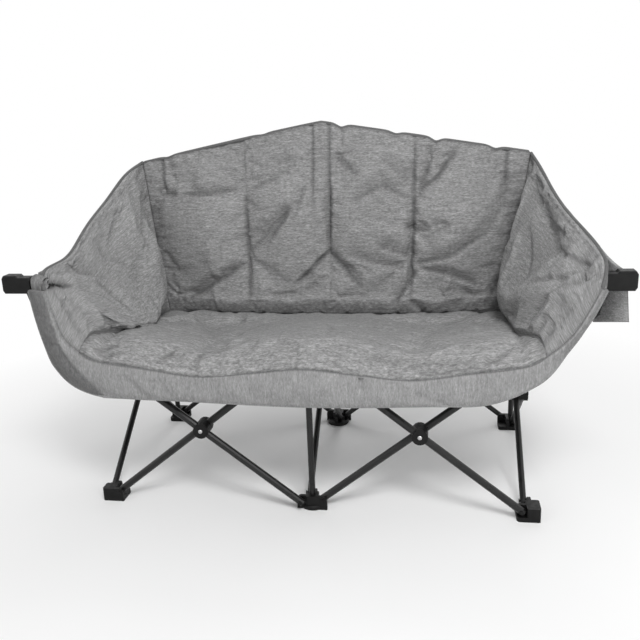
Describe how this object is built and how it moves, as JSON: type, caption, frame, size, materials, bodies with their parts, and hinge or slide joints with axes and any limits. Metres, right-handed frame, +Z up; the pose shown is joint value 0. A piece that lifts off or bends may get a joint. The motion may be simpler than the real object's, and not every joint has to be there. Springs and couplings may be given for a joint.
{
  "type": "folding_camp_loveseat",
  "caption": "Wide folding camp seat for two: padded bucket of grey fabric slung on crossed steel tubes that scissor together into an upright bundle, with pockets on back posts and moulded feet.",
  "frame": {"origin": "on the floor under the middle of the bounding box", "axes": "+X to the right along the width seen from the front, -Y is the front that a sitter faces, +Z up"},
  "size_m": [1.5002, 0.6496, 0.952],
  "materials": {
    "black_enamel_steel": "satin",
    "dark_nylon": "matte",
    "grey_canvas": "matte"
  },
  "bodies": {
    "front_middle_base": {"front_middle_foot": "dark_nylon", "front_leg_lower_tube": "black_enamel_steel"},
    "left_arm_bar": {"front_left_arm_tube": "black_enamel_steel", "front_left_hub_front": "dark_nylon", "left_arm_cap": "dark_nylon"},
    "left_front_bar": {"front_left_short_tube": "black_enamel_steel", "front_left_hub_rear": "dark_nylon"},
    "front_left_base": {"front_left_foot": "dark_nylon"},
    "front_left_corner": {"front_left_bracket": "dark_nylon"},
    "seat_front_carrier": {"front_middle_bracket": "dark_nylon", "front_leg_upper_tube": "black_enamel_steel", "front_band": "grey_canvas"},
    "right_arm_bar": {"front_right_arm_tube": "black_enamel_steel", "front_right_hub_rear": "dark_nylon", "right_arm_cap": "dark_nylon"},
    "right_front_bar": {"front_right_short_tube": "black_enamel_steel", "front_right_hub_front": "dark_nylon"},
    "front_right_base": {"front_right_foot": "dark_nylon"},
    "front_right_corner": {"front_right_bracket": "dark_nylon"},
    "seat_front_flap": {"seat_front_half": "grey_canvas"},
    "seat_rear_flap": {"seat_rear_half": "grey_canvas"},
    "side_left_front_bar": {"side_left_tube_front": "black_enamel_steel", "side_left_hub_rear": "dark_nylon"},
    "side_left_rear_bar": {"side_left_tube_rear": "black_enamel_steel", "side_left_hub_front": "dark_nylon"},
    "side_middle_front_bar": {"side_middle_tube_front": "black_enamel_steel", "side_middle_hub_rear": "dark_nylon"},
    "side_middle_rear_bar": {"side_middle_tube_rear": "black_enamel_steel", "side_middle_hub_front": "dark_nylon"},
    "side_right_front_bar": {"side_right_tube_front": "black_enamel_steel", "side_right_hub_rear": "dark_nylon"},
    "side_right_rear_bar": {"side_right_tube_rear": "black_enamel_steel", "side_right_hub_front": "dark_nylon"},
    "rear_left_base": {"rear_left_foot": "dark_nylon", "back_post_left": "black_enamel_steel", "left_arm_panel": "grey_canvas", "left_side_pocket": "grey_canvas"},
    "rear_middle_base": {"rear_middle_foot": "dark_nylon", "back_post_middle": "black_enamel_steel", "back_panel": "grey_canvas"},
    "rear_right_base": {"rear_right_foot": "dark_nylon", "back_post_right": "black_enamel_steel", "right_arm_panel": "grey_canvas", "right_side_pocket": "grey_canvas"},
    "back_left_runner": {"back_slider_left": "dark_nylon"},
    "back_middle_runner": {"back_slider_middle": "dark_nylon"},
    "back_right_runner": {"back_slider_right": "dark_nylon"},
    "rear_left_middle_bar": {"rear_left_tube_middle": "black_enamel_steel", "rear_left_hub_front": "dark_nylon"},
    "rear_left_outer_bar": {"rear_left_tube_outer": "black_enamel_steel", "rear_left_hub_rear": "dark_nylon"},
    "rear_right_middle_bar": {"rear_right_tube_middle": "black_enamel_steel", "rear_right_hub_rear": "dark_nylon"},
    "rear_right_outer_bar": {"rear_right_tube_outer": "black_enamel_steel", "rear_right_hub_front": "dark_nylon"}
  },
  "joints": [
    {"name": "fold", "type": "hinge", "parent": "front_middle_base", "child": "left_arm_bar", "pos_m": [-0.028, -0.276, 0.025], "axis": [0, 1, 0], "range_deg": [0, 42], "deforming": ["back_panel", "seat_front_half", "seat_rear_half", "front_band", "left_arm_panel", "right_arm_panel", "left_side_pocket", "right_side_pocket"]},
    {"name": "left_front_cross", "type": "hinge", "parent": "left_arm_bar", "child": "left_front_bar", "pos_m": [-0.274, -0.264, 0.2172], "axis": [0, -1, 0], "range_deg": [0, 84]},
    {"name": "front_left_foot_pivot", "type": "hinge", "parent": "left_front_bar", "child": "front_left_base", "pos_m": [-0.52, -0.252, 0.025], "axis": [0, 1, 0], "range_deg": [0, 42]},
    {"name": "front_left_corner_pivot", "type": "hinge", "parent": "left_arm_bar", "child": "front_left_corner", "pos_m": [-0.52, -0.276, 0.40939], "axis": [0, -1, 0], "range_deg": [0, 42]},
    {"name": "front_middle_top_pivot", "type": "hinge", "parent": "left_front_bar", "child": "seat_front_carrier", "pos_m": [-0.028, -0.252, 0.40939], "axis": [0, 1, 0], "range_deg": [0, 42]},
    {"name": "right_arm_swing", "type": "hinge", "parent": "front_middle_base", "child": "right_arm_bar", "pos_m": [0.028, -0.252, 0.025], "axis": [0, -1, 0], "range_deg": [0, 42]},
    {"name": "right_front_cross", "type": "hinge", "parent": "right_arm_bar", "child": "right_front_bar", "pos_m": [0.274, -0.264, 0.2172], "axis": [0, 1, 0], "range_deg": [0, 84]},
    {"name": "front_right_foot_pivot", "type": "hinge", "parent": "right_front_bar", "child": "front_right_base", "pos_m": [0.52, -0.276, 0.025], "axis": [0, -1, 0], "range_deg": [0, 42]},
    {"name": "front_right_corner_pivot", "type": "hinge", "parent": "right_arm_bar", "child": "front_right_corner", "pos_m": [0.52, -0.252, 0.40939], "axis": [0, 1, 0], "range_deg": [0, 42]},
    {"name": "side_left_swing", "type": "hinge", "parent": "front_left_base", "child": "side_left_front_bar", "pos_m": [-0.5505, -0.228, 0.025], "axis": [1, 0, 0], "range_deg": [0, 42]},
    {"name": "side_left_cross", "type": "hinge", "parent": "side_left_front_bar", "child": "side_left_rear_bar", "pos_m": [-0.54, 0.018, 0.2172], "axis": [-1, 0, 0], "range_deg": [0, 84]},
    {"name": "rear_left_foot_pivot", "type": "hinge", "parent": "side_left_rear_bar", "child": "rear_left_base", "pos_m": [-0.5295, 0.264, 0.025], "axis": [1, 0, 0], "range_deg": [0, 42]},
    {"name": "back_left_runner_pivot", "type": "hinge", "parent": "side_left_front_bar", "child": "back_left_runner", "pos_m": [-0.5505, 0.264, 0.40939], "axis": [-1, 0, 0], "range_deg": [0, 42]},
    {"name": "side_middle_swing", "type": "hinge", "parent": "front_middle_base", "child": "side_middle_front_bar", "pos_m": [-0.0105, -0.228, 0.025], "axis": [1, 0, 0], "range_deg": [0, 42]},
    {"name": "side_middle_cross", "type": "hinge", "parent": "side_middle_front_bar", "child": "side_middle_rear_bar", "pos_m": [0, 0.018, 0.2172], "axis": [-1, 0, 0], "range_deg": [0, 84]},
    {"name": "rear_middle_foot_pivot", "type": "hinge", "parent": "side_middle_rear_bar", "child": "rear_middle_base", "pos_m": [0.0105, 0.264, 0.025], "axis": [1, 0, 0], "range_deg": [0, 42]},
    {"name": "back_middle_runner_pivot", "type": "hinge", "parent": "side_middle_front_bar", "child": "back_middle_runner", "pos_m": [-0.0105, 0.264, 0.40939], "axis": [-1, 0, 0], "range_deg": [0, 42]},
    {"name": "side_right_swing", "type": "hinge", "parent": "front_right_base", "child": "side_right_front_bar", "pos_m": [0.5295, -0.228, 0.025], "axis": [1, 0, 0], "range_deg": [0, 42]},
    {"name": "side_right_cross", "type": "hinge", "parent": "side_right_front_bar", "child": "side_right_rear_bar", "pos_m": [0.54, 0.018, 0.2172], "axis": [-1, 0, 0], "range_deg": [0, 84]},
    {"name": "rear_right_foot_pivot", "type": "hinge", "parent": "side_right_rear_bar", "child": "rear_right_base", "pos_m": [0.5505, 0.264, 0.025], "axis": [1, 0, 0], "range_deg": [0, 42]},
    {"name": "back_right_runner_pivot", "type": "hinge", "parent": "side_right_front_bar", "child": "back_right_runner", "pos_m": [0.5295, 0.264, 0.40939], "axis": [-1, 0, 0], "range_deg": [0, 42]},
    {"name": "rear_left_swing", "type": "hinge", "parent": "rear_middle_base", "child": "rear_left_middle_bar", "pos_m": [-0.028, 0.312, 0.025], "axis": [0, 1, 0], "range_deg": [0, 42]},
    {"name": "rear_left_cross", "type": "hinge", "parent": "rear_left_middle_bar", "child": "rear_left_outer_bar", "pos_m": [-0.274, 0.3015, 0.2172], "axis": [0, -1, 0], "range_deg": [0, 84]},
    {"name": "rear_right_swing", "type": "hinge", "parent": "rear_middle_base", "child": "rear_right_middle_bar", "pos_m": [0.028, 0.291, 0.025], "axis": [0, -1, 0], "range_deg": [0, 42]},
    {"name": "rear_right_cross", "type": "hinge", "parent": "rear_right_middle_bar", "child": "rear_right_outer_bar", "pos_m": [0.274, 0.3015, 0.2172], "axis": [0, 1, 0], "range_deg": [0, 84]},
    {"name": "seat_front_fold", "type": "hinge", "parent": "seat_front_carrier", "child": "seat_front_flap", "pos_m": [0, -0.258, 0.424], "axis": [1, 0, 0], "range_deg": [0, 90]},
    {"name": "seat_rear_fold", "type": "hinge", "parent": "seat_front_flap", "child": "seat_rear_flap", "pos_m": [0, -0.038, 0.412], "axis": [-1, 0, 0], "range_deg": [0, 170]}
  ],
  "couplings": [
    {"joint": "left_front_cross", "follows": "fold", "ratio": 2},
    {"joint": "front_left_foot_pivot", "follows": "fold", "ratio": 1},
    {"joint": "front_left_corner_pivot", "follows": "fold", "ratio": 1},
    {"joint": "front_middle_top_pivot", "follows": "fold", "ratio": 1},
    {"joint": "right_arm_swing", "follows": "fold", "ratio": 1},
    {"joint": "right_front_cross", "follows": "fold", "ratio": 2},
    {"joint": "front_right_foot_pivot", "follows": "fold", "ratio": 1},
    {"joint": "front_right_corner_pivot", "follows": "fold", "ratio": 1},
    {"joint": "side_left_swing", "follows": "fold", "ratio": 1},
    {"joint": "side_left_cross", "follows": "fold", "ratio": 2},
    {"joint": "rear_left_foot_pivot", "follows": "fold", "ratio": 1},
    {"joint": "back_left_runner_pivot", "follows": "fold", "ratio": 1},
    {"joint": "side_middle_swing", "follows": "fold", "ratio": 1},
    {"joint": "side_middle_cross", "follows": "fold", "ratio": 2},
    {"joint": "rear_middle_foot_pivot", "follows": "fold", "ratio": 1},
    {"joint": "back_middle_runner_pivot", "follows": "fold", "ratio": 1},
    {"joint": "side_right_swing", "follows": "fold", "ratio": 1},
    {"joint": "side_right_cross", "follows": "fold", "ratio": 2},
    {"joint": "rear_right_foot_pivot", "follows": "fold", "ratio": 1},
    {"joint": "back_right_runner_pivot", "follows": "fold", "ratio": 1},
    {"joint": "rear_left_swing", "follows": "fold", "ratio": 1},
    {"joint": "rear_left_cross", "follows": "fold", "ratio": 2},
    {"joint": "rear_right_swing", "follows": "fold", "ratio": 1},
    {"joint": "rear_right_cross", "follows": "fold", "ratio": 2},
    {"joint": "seat_front_fold", "follows": "fold", "ratio": 1.9762},
    {"joint": "seat_rear_fold", "follows": "fold", "ratio": 3.9524}
  ]
}
